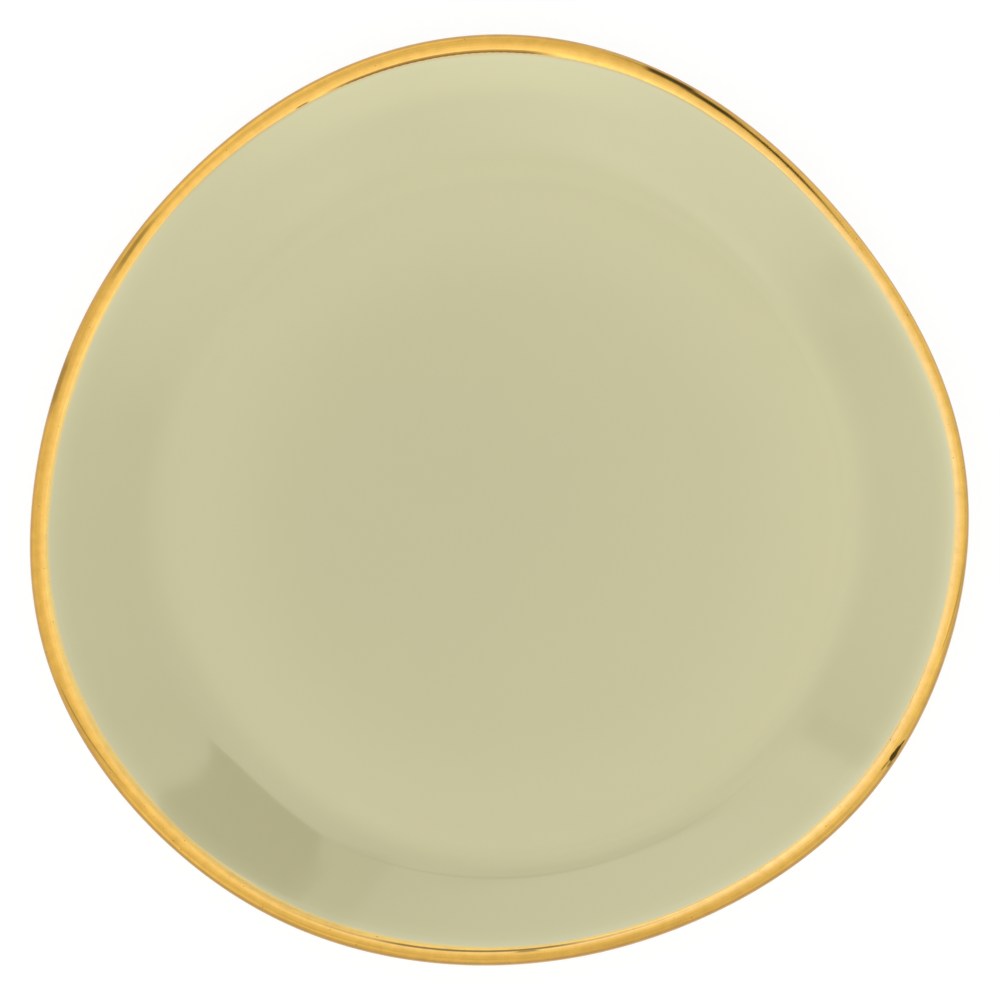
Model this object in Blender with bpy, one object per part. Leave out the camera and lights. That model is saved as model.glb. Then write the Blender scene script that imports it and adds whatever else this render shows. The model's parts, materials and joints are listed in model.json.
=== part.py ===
"""A stoneware side plate: a moulded body, a coat of glaze and a band of gold lustre on its lip.

The outline is uneven and softly three-lobed, but the well and the foot ring are round and share
one centre, a little off the middle of the outline. The wall is lofted between that circle and
the outline. Body, glaze and gold are all cut from the same skin at different depths, so each
layer follows the one under it. Metres, +Z up; the origin is on the table, in the middle of the
outline.
"""

import math

import bmesh
import bpy
import numpy as np
from mathutils import Vector

# The outline, seen from above
PLATE_RADIUS = 0.0840
OUTLINE_SHARES = (
    1.010, 0.981, 0.960, 0.976, 1.000, 1.000, 0.981, 0.971, 0.982,
    1.007, 1.035, 1.032, 1.024, 1.009, 0.999, 1.004, 1.020, 1.019,
)  # lip radius over PLATE_RADIUS, every 20 degrees anticlockwise from +X

# The section, from the table up
PLATE_HEIGHT = 0.0200
FOOT_HEIGHT = 0.0022
FLOOR_THICKNESS = 0.0042
LIP_THICKNESS = 0.0036
WALL_WIDTH = 0.0232
COVE_SHARE = 0.17
STRAIGHT_START_SHARE = 0.17

# The round well, off the middle of the outline
WELL_OFFSET_X = 0.0018
WELL_OFFSET_Y = -0.0033

# The foot ring, its recess and its bare rim
FOOT_INSET = 0.0100
FOOT_ROOT_WIDTH = 0.0056
FOOT_FACE_WIDTH = 0.0024
FOOT_EDGE_RADIUS = 0.0006
RECESS_DEPTH = 0.0026

# The coats, and the clearance between each layer and the next
GLAZE_THICKNESS = 0.00035
GOLD_THICKNESS = 0.00015
COAT_GAP = 0.0003
LIP_TAPER_RUN = 0.0012

# The gold, as a brush laid it: its width seen from above, and how far it runs down outside
GOLD_WIDTH = 0.0030
GOLD_WIDTH_SHARES = (
    0.81, 0.74, 0.79, 0.84, 1.06, 1.02, 0.99, 0.93, 1.05,
    1.08, 1.14, 1.16, 1.13, 1.12, 1.04, 1.04, 1.09, 0.94,
)  # seen width over GOLD_WIDTH, at the same bearings as OUTLINE_SHARES
GOLD_OUTSIDE_RUN = 0.0020

# How finely the forms are divided
SECTORS = 64
WALL_RINGS = 7
BAND_RINGS = 8
OUTSIDE_RINGS = 6
EDGE_STEPS = 3
SKIN_STEPS = 48
COVE_CROWDING = 1.5  # over 1 brings the rings closer together at the cove
SHARP_ANGLE = math.radians(50)

# Colours in sRGB, roughness and metallic value
GLAZE_FINISH = ((0.784, 0.765, 0.616), 0.18, 0.0)
CLAY_FINISH = ((0.780, 0.735, 0.660), 0.80, 0.0)
GOLD_FINISH = ((0.930, 0.730, 0.330), 0.22, 1.0)

# Derived sizes
WELL_CENTRE = Vector((WELL_OFFSET_X, WELL_OFFSET_Y, 0))
WELL_RADIUS = PLATE_RADIUS - WALL_WIDTH
FLOOR_TOP = FOOT_HEIGHT + FLOOR_THICKNESS
LIP_RADIUS = LIP_THICKNESS / 2
FOOT_RADIUS = WELL_RADIUS - FOOT_INSET
FOOT_ROOT_OUTSIDE = FOOT_RADIUS + FOOT_ROOT_WIDTH / 2
FOOT_ROOT_INSIDE = FOOT_RADIUS - FOOT_ROOT_WIDTH / 2
UNDER_GLAZE = GLAZE_THICKNESS + COAT_GAP
UNDER_GOLD = GOLD_THICKNESS + COAT_GAP
BEARINGS = [math.tau * sector / SECTORS for sector in range(SECTORS)]


def clear_scene():
    for old in list(bpy.data.objects):
        bpy.data.objects.remove(old)


def finish(name, colour, roughness, metallic):
    """A Principled material; the colour is given in sRGB."""
    material = bpy.data.materials.new(name)
    material.use_nodes = True
    shader = material.node_tree.nodes["Principled BSDF"]
    linear = [((part + 0.055) / 1.055) ** 2.4 for part in colour]
    shader.inputs["Base Color"].default_value = (*linear, 1)
    shader.inputs["Roughness"].default_value = roughness
    shader.inputs["Metallic"].default_value = metallic
    return material


def smooth_share(shares, bearing):
    """The smooth closed curve through evenly spaced shares, read at any bearing."""
    waves = np.fft.rfft(shares) / len(shares)
    orders = np.arange(len(waves))
    counted_twice = (orders > 0) & (2 * orders < len(shares))
    swings = (waves * np.exp(1j * orders * bearing)).real
    return float(swings.sum() + swings[counted_twice].sum())


def direction(bearing):
    return Vector((math.cos(bearing), math.sin(bearing), 0))


def round_ring(radius, height):
    """A circle about the axis of the well and the foot."""
    return [WELL_CENTRE + direction(b) * radius + Vector((0, 0, height)) for b in BEARINGS]


def bend(corners, shares):
    """Points and slopes at shares of the way along the smooth curve that a row of corners guides."""
    while len(corners) > 2:
        corners = [near + (far - near) * shares for near, far in zip(corners, corners[1:])]
    near, far = corners
    return near + (far - near) * shares, far - near


def wall_middle(reach):
    """The middle of the wall's thickness, from the well's edge to the centre of the round lip."""
    low = FLOOR_TOP - FLOOR_THICKNESS / 2
    start = np.array((0, low))
    cove = np.array((COVE_SHARE * reach, low))
    end = np.array((reach, PLATE_HEIGHT - LIP_RADIUS))
    straight = cove + STRAIGHT_START_SHARE * (end - cove)
    shares = np.linspace(0, 1, SKIN_STEPS)[:, None]
    points, slopes = bend((start, cove, straight, end), shares)
    slopes /= np.linalg.norm(slopes, axis=1)[:, None]
    return points, np.stack((-slopes[:, 1], slopes[:, 0]), axis=1)


class WallSection:
    """One cut through the wall, from the well's edge to the outline.

    The skin runs up the inside, round the lip and down the outside. A place on it is given by
    its length along the skin, and a layer by its depth below it.
    """

    def __init__(self, bearing):
        outline_point = direction(bearing) * PLATE_RADIUS * smooth_share(OUTLINE_SHARES, bearing)
        self.well_edge = WELL_CENTRE + direction(bearing) * WELL_RADIUS
        self.outward = outline_point - self.well_edge
        run = self.outward.length
        self.outward.normalize()

        middle, normals = wall_middle(run - LIP_RADIUS)
        half = np.linspace(FLOOR_THICKNESS, LIP_THICKNESS, SKIN_STEPS)[:, None] / 2
        inside_turn = math.atan2(normals[-1][1], normals[-1][0])
        turns = np.linspace(inside_turn, inside_turn - math.pi, SKIN_STEPS)[1:-1]
        lip_normals = np.stack((np.cos(turns), np.sin(turns)), axis=1)
        lip = middle[-1] + LIP_RADIUS * lip_normals
        self.points = np.concatenate((middle + half * normals, lip, (middle - half * normals)[::-1]))
        self.normals = np.concatenate((normals, lip_normals, -normals[::-1]))
        steps = np.linalg.norm(np.diff(self.points, axis=0), axis=1)
        self.lengths = np.concatenate(((0,), np.cumsum(steps)))

        outermost = int(np.argmax(self.points[:, 0]))
        seen = GOLD_WIDTH * smooth_share(GOLD_WIDTH_SHARES, bearing)
        inside = slice(0, outermost + 1)
        self.gold_start = float(np.interp(run - seen, self.points[inside, 0], self.lengths[inside]))
        self.gold_end = float(self.lengths[outermost]) + GOLD_OUTSIDE_RUN

    def point(self, length, depth):
        across, up, normal_across, normal_up = (
            np.interp(length, self.lengths, values)
            for values in (*self.points.T, *self.normals.T)
        )
        place = self.well_edge + self.outward * (across - depth * normal_across)
        place.z = up - depth * normal_up
        return place


def skin_stations(section):
    """Lengths along the skin where rings lie: up the wall, under the gold, and down outside."""
    ledge_in = section.gold_start - COAT_GAP
    ledge_out = section.gold_end + COAT_GAP
    skin_end = section.lengths[-1]
    wall_run = ledge_in - LIP_TAPER_RUN
    outside_run = skin_end - ledge_out - LIP_TAPER_RUN
    return (
        wall_run * np.linspace(0, 1, WALL_RINGS) ** COVE_CROWDING,
        ledge_in,
        np.linspace(section.gold_start, section.gold_end, BAND_RINGS),
        ledge_out,
        skin_end - outside_run * np.linspace(1, 0, OUTSIDE_RINGS) ** COVE_CROWDING,
    )


def rings_through(sections, places):
    """Turns each section's list of (length, depth) places into rings round the plate."""
    rows = [
        [section.point(length, depth) for length, depth in places(section)]
        for section in sections
    ]
    return [list(ring) for ring in zip(*rows)]


def lower_skin(depth):
    """Places of a layer that draws in under the gold: at a depth on the bare wall, deeper there."""
    def places(section):
        wall, ledge_in, band, ledge_out, outside = skin_stations(section)
        drawn_in = [ledge_in, *band, ledge_out]
        return (
            [(length, depth) for length in wall]
            + [(length, depth + UNDER_GOLD) for length in drawn_in]
            + [(length, depth) for length in outside]
        )
    return places


def glaze_face(section):
    """The glaze's outer face: flush with the skin, with a shallow seat for the gold."""
    wall, ledge_in, band, ledge_out, outside = skin_stations(section)
    seat = [ledge_in, *band, ledge_out]
    return (
        [(length, 0) for length in (*wall, ledge_in)]
        + [(length, UNDER_GOLD) for length in seat]
        + [(length, 0) for length in (ledge_out, *outside)]
    )


def gold_loop(section):
    band = skin_stations(section)[2]
    return [(length, 0) for length in band] + [(length, GOLD_THICKNESS) for length in band[::-1]]


def add_solid(name, rings, material, tips=()):
    """A closed loft through rings. Two tips close it at poles; without them it closes on itself."""
    shape = bmesh.new()
    rows = [[shape.verts.new(point) for point in ring] for ring in rings]
    if not tips:
        rows.append(rows[0])
    for near, far in zip(rows, rows[1:]):
        for side in range(SECTORS):
            after = (side + 1) % SECTORS
            shape.faces.new((near[side], far[side], far[after], near[after]))
    if tips:
        first = shape.verts.new(tips[0])
        last = shape.verts.new(tips[1])
        for side in range(SECTORS):
            after = (side + 1) % SECTORS
            shape.faces.new((first, rows[0][side], rows[0][after]))
            shape.faces.new((last, rows[-1][after], rows[-1][side]))
    mesh = bpy.data.meshes.new(name)
    shape.to_mesh(mesh)
    shape.free()
    mesh.materials.append(material)
    mesh.shade_smooth()
    mesh.set_sharp_from_angle(angle=SHARP_ANGLE)
    solid = bpy.data.objects.new(name, mesh)
    bpy.context.collection.objects.link(solid)
    return solid


def axis_point(height):
    return WELL_CENTRE + Vector((0, 0, height))


def foot_edge(side):
    """The rounded edge between the foot's face and its sloping side; side is 1 outside, -1 inside."""
    corner = FOOT_RADIUS + side * FOOT_FACE_WIDTH / 2
    turns = [math.radians(90) * step / EDGE_STEPS for step in range(EDGE_STEPS + 1)]
    return [
        (corner + side * FOOT_EDGE_RADIUS * math.sin(turn), FOOT_EDGE_RADIUS * (1 - math.cos(turn)))
        for turn in turns
    ]


def make_body(sections, clay):
    """The fired clay: the whole form less its coats, with the foot ring left bare."""
    rings = rings_through(sections, lower_skin(UNDER_GLAZE))
    underside = FOOT_HEIGHT + UNDER_GLAZE
    ceiling = RECESS_DEPTH + UNDER_GLAZE
    foot = [
        (FOOT_ROOT_OUTSIDE, underside),
        *foot_edge(1)[::-1],
        *foot_edge(-1),
        (FOOT_ROOT_INSIDE, ceiling),
    ]
    rings += [round_ring(radius, height) for radius, height in foot]
    tips = (axis_point(FLOOR_TOP - UNDER_GLAZE), axis_point(ceiling))
    return add_solid("stoneware_body", rings, clay, tips)


def make_glaze(sections, glaze):
    """One coat from the middle of the well over the lip to the foot ring, open under the foot."""
    stop = FOOT_ROOT_OUTSIDE + COAT_GAP
    rings = rings_through(sections, glaze_face)
    rings += [round_ring(stop, FOOT_HEIGHT), round_ring(stop, FOOT_HEIGHT + GLAZE_THICKNESS)]
    rings += rings_through(sections, lower_skin(GLAZE_THICKNESS))[::-1]
    tips = (axis_point(FLOOR_TOP), axis_point(FLOOR_TOP - GLAZE_THICKNESS))
    return add_solid("glaze_coat", rings, glaze, tips)


def make_gold(sections, gold):
    """The lustre on the lip, in its seat in the glaze."""
    return add_solid("gold_lip_band", rings_through(sections, gold_loop), gold)


def make_recess_glaze(glaze):
    """The disc of glaze inside the foot ring, clear of the ring's wiped wall."""
    edge = FOOT_ROOT_INSIDE - COAT_GAP
    top = RECESS_DEPTH + GLAZE_THICKNESS
    rings = [round_ring(edge, top), round_ring(edge, RECESS_DEPTH)]
    tips = (axis_point(top), axis_point(RECESS_DEPTH))
    return add_solid("foot_recess_glaze", rings, glaze, tips)


def main():
    clear_scene()
    clay = finish("clay", *CLAY_FINISH)
    glaze = finish("glaze", *GLAZE_FINISH)
    gold = finish("gold", *GOLD_FINISH)
    sections = [WallSection(bearing) for bearing in BEARINGS]
    plate = bpy.data.objects.new("plate", None)
    bpy.context.collection.objects.link(plate)
    for piece in (
        make_body(sections, clay),
        make_glaze(sections, glaze),
        make_recess_glaze(glaze),
        make_gold(sections, gold),
    ):
        piece.parent = plate


main()
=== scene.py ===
"""A glazed stoneware side plate with gold lustre on its lip, dressed around its solids.

One rule gives the skin of the plate: a section at every bearing, from the middle of the well up
the wall, round the lip, down the outside and in to the foot. Each layer is a drawing of that
section, swept round the plate by geometry nodes. Metres, +Z up.
"""

import json
import math

import bpy
import numpy as np
from bpy.props import FloatProperty, FloatVectorProperty, IntProperty, PointerProperty
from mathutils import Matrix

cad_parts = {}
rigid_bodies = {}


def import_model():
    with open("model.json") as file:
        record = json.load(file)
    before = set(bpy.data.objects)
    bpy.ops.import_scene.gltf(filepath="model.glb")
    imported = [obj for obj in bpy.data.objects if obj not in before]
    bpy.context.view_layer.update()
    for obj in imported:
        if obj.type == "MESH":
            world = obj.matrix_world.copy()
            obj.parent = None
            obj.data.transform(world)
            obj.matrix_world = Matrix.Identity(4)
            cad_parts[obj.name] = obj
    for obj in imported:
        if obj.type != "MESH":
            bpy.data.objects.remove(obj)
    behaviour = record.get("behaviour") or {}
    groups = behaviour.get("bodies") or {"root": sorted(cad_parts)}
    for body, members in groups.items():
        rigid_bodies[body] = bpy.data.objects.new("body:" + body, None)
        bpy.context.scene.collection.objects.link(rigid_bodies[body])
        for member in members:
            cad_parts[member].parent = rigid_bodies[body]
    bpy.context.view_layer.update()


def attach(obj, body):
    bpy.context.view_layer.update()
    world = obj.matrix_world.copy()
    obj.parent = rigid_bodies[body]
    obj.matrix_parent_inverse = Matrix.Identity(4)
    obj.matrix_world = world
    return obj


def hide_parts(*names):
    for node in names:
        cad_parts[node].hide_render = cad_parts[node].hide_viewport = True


for old in list(bpy.data.objects):
    bpy.data.objects.remove(old)
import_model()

bl_info = {
    "name": "Side plate with a gold lip",
    "version": (1, 0, 0),
    "blender": (4, 5, 0),
    "location": "3D View > Sidebar > Plate",
    "description": "Makes the layers of a glazed side plate and a plain stage for it",
    "category": "Add Mesh",
}

BODY = "root"

# Rings of the skin: first and last station, and how many; then those of its other parts
SKIN_RINGS = ((-1, 0, 13), (0, 0.93, 36), (0.93, 1, 10), (1, 2, 33))
OUTSIDE_RINGS = 24
UNDER_RINGS = 6
RECESS_RINGS = 9
GOLD_RINGS = 41
BEAD_STEPS = 9
FOOT_EDGE_STEPS = 7
GOLD_SECTORS = 900
SHARP_ANGLE = math.radians(50)
MERGE_DISTANCE = 1e-6

# The soft corner where the foot ring leaves the floor: how far it reaches, and the place of its
# middle point, outwards and down
CORNER_REACH = 0.0012
CORNER_STEP, CORNER_DROP = 0.0003, 0.0001
# Share of the band where the gold is drawn thin at each edge, and how deep its very edge lies,
# in thicknesses of the gold
GOLD_RIM_SHARE = 0.03
GOLD_RIM_DEPTH = 1.2
# Swings of the gold's edges round the plate, inside and outside, each with its seed
BRUSH_SWINGS = ((26, 3.0), (20, 8.0))

# Places on the glaze: the middle of its painted shade in the well, the middle of a ring of thin dark
# painted reflection, and its brightest side, a painted highlight
WELL_SHADE = (-0.012, -0.003)
REFLECTED_LINE = (-0.0009, 0.0015)
REFLECTED_LINE_RADIUS = 0.0704
REFLECTED_LINE_HALF_WIDTH = 0.0004
BRIGHT_SIDE = (-0.012, 0.083)
# How strongly the glaze mirrors, and in which tint
GLAZE_IOR, GLAZE_SPECULAR = 1.6, 0.81
GLAZE_TINT = (1.0, 0.985, 0.77, 1)

# Burnt marks and painted shade along the gold: place, half length, shares across the band, darkness,
# and the share of the length that fades at each end. The first two rows are painted reflections and
# the last two painted shade
BURNT_AND_SHADE_MARKS = (
    (0.0310, 0.0761, 0.0055, 0.33, 0.49, 0.90, 0.30),
    (0.0390, 0.0729, 0.0075, 0.29, 0.42, 0.82, 0.60),
    (-0.0040, -0.0838, 0.0215, 0.05, 0.12, 0.75, 0.40),
    (-0.0040, -0.0838, 0.0380, 0.06, 0.12, 0.35, 0.50),
    (0.0050, -0.0817, 0.0024, 0.06, 0.17, 0.62, 0.50),
    (-0.0112, 0.0803, 0.0210, -0.05, 0.02, 0.90, 0.25),
    (-0.0355, 0.0711, 0.0014, -0.05, 0.03, 0.75, 0.50),
    (-0.0662, 0.0458, 0.0068, 0.25, 0.38, 0.50, 0.75),
    (-0.0794, 0.0213, 0.0055, 0.36, 0.60, 0.44, 0.60),
    (0.0665, -0.0530, 0.0220, 0.29, 0.41, 0.16, 0.60),
    (-0.0290, -0.0790, 0.0200, 0.40, 0.47, 0.18, 0.60),
)
# Dark dashes that lie aslant on the lip, painted reflections: place, direction in degrees, half
# length, half width and darkness
DASHES = (
    (0.0712, -0.0462, 54, 0.0014, 0.00048, 1.00),
    (0.0717, -0.0454, 54, 0.0019, 0.00032, 1.00),
    (0.0726, -0.0442, 54, 0.0012, 0.00018, 0.90),
    (0.0697, -0.0479, 51, 0.0014, 0.00018, 0.62),
    (0.0705, -0.0477, 52, 0.0008, 0.00030, 0.50),
)
# Faint scratches that cross the gold: first and last bearing in degrees, the share across the
# band at each, and darkness
SCRATCHES = (
    (-158, -139, 0.41, 0.21, 0.48),
    (-20, -4, 0.31, 0.47, 0.36),
)
SCRATCH_HALF_SHARE = 0.04
# The softness of the marks: the sides of a mark along the band, over its width; where a dash's edge
# ends and begins to fade, over its size; and when a scratch has fully begun and when it begins to end
MARK_SOFTNESS = 0.25
DASH_EDGE = (1.15, 0.70)
SCRATCH_BEGUN, SCRATCH_ENDING = 0.15, 0.4

# The stage. The floor is one thing to the camera and to mirrors, and another as a lit surface
FLOOR_RADIUS = 4
FLOOR_SIDES = 96
FLOOR_GREY, SEEN_FLOOR_GREY, SEEN_FLOOR_GLOW = 0.8, 0.26, 0.78
WORLD_GLOW, SEEN_WORLD_EXTRA = 0.9, 0.1
SENSOR_WIDTH = 36
NEAREST, FURTHEST = 0.05, 20
# The tent's corners, as azimuths and as polar angles down from its top
TENT_AZIMUTHS = np.linspace(0, 360, 361).tolist()
TENT_POLARS = np.linspace(0, 8, 17).tolist() + np.linspace(8.7, 89.5, 116).tolist()
# Polar angles between which the tent's top passes into its sides
SIDES_BEGIN, SIDES_FULL = 46, 62
# A greyer part of the wall, high over the far side: where it begins, is full, begins to end and
# has ended, then the polar angles of its upper and lower side, each with its brightness over
# that of the tent's top
GREY_AZIMUTHS = (74, 90, 114, 134)
GREY_POLARS = (50, 58, 70.5, 74.5)
GREY_UPPER, GREY_LOWER = (56, 1.07), (68, 0.87)
# Patches on the tent's wall: first and last azimuth, first and last polar angle, change of light
PATCH_SOFTNESS = 1
PATCHES = (
    (59, 73, 62.5, 95, -0.30),
    (136, 142.5, 66, 80, 0.15),
    (142.5, 147.5, 66, 76.5, -0.28),
    (214, 218.2, 77.3, 80, -0.30),
)
# The dark card above the plate: its glow, and where it hangs
CARD_GLOW = 0.02
CARD_HEIGHT = 0.133
CARD_CORNERS = (
    (0.111, 0.084), (0.142, 0.126), (0.147, 0.136), (0.197, 0.195), (0.178, 0.220), (0.143, 0.264),
    (0.127, 0.284), (0.119, 0.264), (0.121, 0.244), (0.109, 0.201), (0.093, 0.165), (0.095, 0.120),
    (0.097, 0.092),
)


def linear(red, green, blue):
    """A colour from its screen values, 0 to 255, as shaders take it."""
    parts = (part / 255 for part in (red, green, blue))
    return tuple(p / 12.92 if p <= 0.04045 else ((p + 0.055) / 1.055) ** 2.4 for p in parts)


# Sizes and colours that a user may change

def length(name, description, default):
    return FloatProperty(
        name=name, description=description, default=default, unit="LENGTH", precision=5,
    )


def share(name, description, default):
    return FloatProperty(
        name=name, description=description, default=default, min=0, max=1, subtype="FACTOR",
    )


def level(name, description, default):
    return FloatProperty(name=name, description=description, default=default, min=0, precision=3)


def colour(name, description, default):
    return FloatVectorProperty(
        name=name, description=description, default=default, min=0, max=1, subtype="COLOR",
    )


def shares_round(name, description, default):
    return FloatVectorProperty(
        name=name, description=description, default=default, size=len(default), precision=3,
    )


class PlateSizes(bpy.types.PropertyGroup):
    """The form of the plate, as its solids have it."""

    plate_radius: length("Plate radius", "Mean distance of the lip from the middle", 0.0840)
    outline: shares_round(
        "Outline", "Lip radius over the plate radius, every 20 degrees from +X",
        (
            1.010, 0.981, 0.960, 0.976, 1.000, 1.000, 0.981, 0.971, 0.982,
            1.007, 1.035, 1.032, 1.024, 1.009, 0.999, 1.004, 1.020, 1.019,
        ),
    )
    plate_height: length("Plate height", "Top of the lip above the table", 0.0200)
    foot_height: length("Foot height", "Underside of the floor above the table", 0.0022)
    floor_thickness: length("Floor thickness", "Thickness of the floor with its glaze", 0.0042)
    lip_thickness: length("Lip thickness", "Thickness of the wall at the lip", 0.0036)
    well_radius: length("Well radius", "Radius of the flat round well", 0.0608)
    well_x: length("Well offset X", "Middle of the well from the middle of the outline", 0.0018)
    well_y: length("Well offset Y", "Middle of the well from the middle of the outline", -0.0033)
    cove: share("Cove", "Share of the wall's run where the cove begins to lift", 0.17)
    straight: share("Straight start", "Share of the wall's rise where it turns straight", 0.17)
    dip: length("Dip", "How far the wall lies under its even line; it meets the lip steeper", 0.0001)
    dip_run: length("Dip run", "How far from the lip the wall begins to turn steeper", 0.0013)
    foot_radius: length("Foot radius", "Middle of the foot ring", 0.0508)
    foot_root: length("Foot root", "Width of the foot ring where it leaves the floor", 0.0056)
    foot_face: length("Foot face", "Width of the face that stands on the table", 0.0024)
    foot_edge: length("Foot edge", "Rounding of the foot's edges", 0.0006)
    recess: length("Recess", "Depth of the glazed recess inside the foot ring", 0.0026)


class CoatSizes(bpy.types.PropertyGroup):
    """The coats on the clay."""

    glaze: length("Glaze thickness", "Thickness of the glaze", 0.00035)
    gold: length("Gold thickness", "How far the gold stands on the glaze", 0.00002)
    lap: length("Lap", "How far a layer reaches into the one under it", 0.00003)
    gold_width: length("Gold width", "Width of the gold, seen from above", 0.0030)
    gold_widths: shares_round(
        "Gold widths", "Seen width over the gold width, every 20 degrees from +X",
        (
            0.83, 0.77, 0.84, 0.98, 1.16, 1.17, 1.01, 0.93, 1.10,
            1.10, 1.22, 1.22, 1.18, 1.17, 1.05, 1.06, 1.11, 0.97,
        ),
    )
    gold_outside: length("Gold outside", "How far the gold runs down the outside", 0.0020)
    brush_swing: length("Brush swing", "How far the gold's edges wander", 0.00022)
    sectors: IntProperty(name="Sectors", description="Divisions round the plate", default=360)


class Colours(bpy.types.PropertyGroup):
    """Base colours of the finishes."""

    glaze: colour("Glaze", "Sage glaze over the clay", (0.483, 0.4575, 0.269))
    # Glaze drawn thin beside the gold, also used as painted light on the lower right
    thin_glaze_and_sheen: colour("Thin glaze", "Glaze drawn thin beside the gold", (0.505, 0.500, 0.330))
    feather: colour("Feather", "Glaze with a trace of lustre, at the gold's edge", (0.77, 0.53, 0.145))
    clay: colour("Clay", "Bare fired stoneware", linear(199, 187, 168))
    clay_specks: colour("Clay specks", "Iron specks in the clay", linear(128, 100, 74))
    # The gold tones below are one lustre, painted lighter and darker over the lip as painted light and
    # shade
    highlight_gold: colour("Bright gold", "Lustre at its inner rim, lower left", (1.0, 0.67, 0.20))
    lit_gold: colour("Pale gold", "Lustre at its inner edge, on the right", (0.93, 0.63, 0.25))
    shaded_gold: colour("Deep gold", "Lustre at its inner edge, on the left", (0.89, 0.53, 0.13))
    rich_gold: colour("Rich gold", "Lustre on the top of the lip", (0.84, 0.51, 0.115))
    gold: colour("Gold", "Lustre on the outer half of the lip", (0.67, 0.390, 0.078))
    # Painted shade on the lustre down the outside of the lip
    shaded_brown_gold: colour("Brown gold", "Lustre drawn thin down the outside", (0.50, 0.288, 0.090))
    # Also the colour of painted reflections and painted shade in the gold
    burnt_and_shade: colour("Burnt gold", "Dark marks in the lustre", (0.062, 0.038, 0.008))
    rusty: colour("Rusty gold", "Burnt marks at the inner edge", (0.112, 0.050, 0.018))


class StudioSizes(bpy.types.PropertyGroup):
    """The camera and the white tent round the plate."""

    lens: FloatProperty(name="Lens", description="Focal length in millimetres", default=250)
    camera_height: length("Camera height", "Camera above the table", 1.2747)
    camera_x: length("Camera X", "Camera from the middle of the outline", 0.00008)
    camera_y: length("Camera Y", "Camera from the middle of the outline", 0.00001)
    tent_radius: length("Tent radius", "Radius of the white tent", 1.5)
    overhead: level("Overhead", "Brightness of the tent's top", 1.08)
    sides: shares_round(
        "Sides", "Brightness of the tent's sides, every 15 degrees from +X",
        (
            0.91, 0.92, 0.85, 1.00, 0.95, 1.00, 1.27, 1.37, 1.47, 1.38, 0.97, 1.10,
            1.09, 1.10, 0.95, 1.55, 1.64, 1.68, 1.57, 1.35, 1.48, 1.39, 1.27, 0.93,
        ),
    )


# Formulas in node trees

class Formula:
    """A number inside a node tree, so that a rule can be written as plain arithmetic."""

    def __init__(self, tree, socket):
        self.tree = tree
        self.socket = socket

    def math(self, operation, *others):
        node = self.tree.nodes.new("ShaderNodeMath")
        node.operation = operation
        for socket, value in zip(node.inputs, (self, *others)):
            feed(self.tree, socket, value)
        return Formula(self.tree, node.outputs[0])

    def __add__(self, other):
        return self.math("ADD", other)

    def __sub__(self, other):
        return self.math("SUBTRACT", other)

    def __mul__(self, other):
        return self.math("MULTIPLY", other)

    def __truediv__(self, other):
        return self.math("DIVIDE", other)

    def __neg__(self):
        return self.math("MULTIPLY", -1)

    def less_from(self, whole):
        """whole minus this number."""
        return (-self).math("ADD", whole)

    def between(self, low, high):
        return self.math("MAXIMUM", low).math("MINIMUM", high)


def feed(tree, socket, value):
    """Gives a socket a formula, another socket or a plain value."""
    if isinstance(value, Formula):
        tree.links.new(value.socket, socket)
    elif isinstance(value, bpy.types.NodeSocket):
        tree.links.new(value, socket)
    else:
        socket.default_value = value


def add(tree, kind, feeds=(), **settings):
    """A node with its settings, and its inputs by name or number."""
    node = tree.nodes.new(kind)
    for name, value in settings.items():
        setattr(node, name, value)
    for key, value in dict(feeds).items():
        feed(tree, node.inputs[key], value)
    return node


def vector(tree, x, y, z):
    return add(tree, "ShaderNodeCombineXYZ", {0: x, 1: y, 2: z}).outputs[0]


# The rule of the plate's skin

def closed_curve(bearing, values):
    """The smooth closed curve through evenly spaced values, as a sum of waves round the plate."""
    waves = np.fft.rfft(values) / len(values)
    total = Formula(bearing.tree, add(bearing.tree, "ShaderNodeValue").outputs[0])
    total.socket.default_value = float(waves[0].real)
    for order, wave in enumerate(waves[1:], 1):
        swing = abs(wave) * (1 if 2 * order == len(values) else 2)
        total = total + (bearing * order + float(np.angle(wave))).math("COSINE") * float(swing)
    return total


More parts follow.
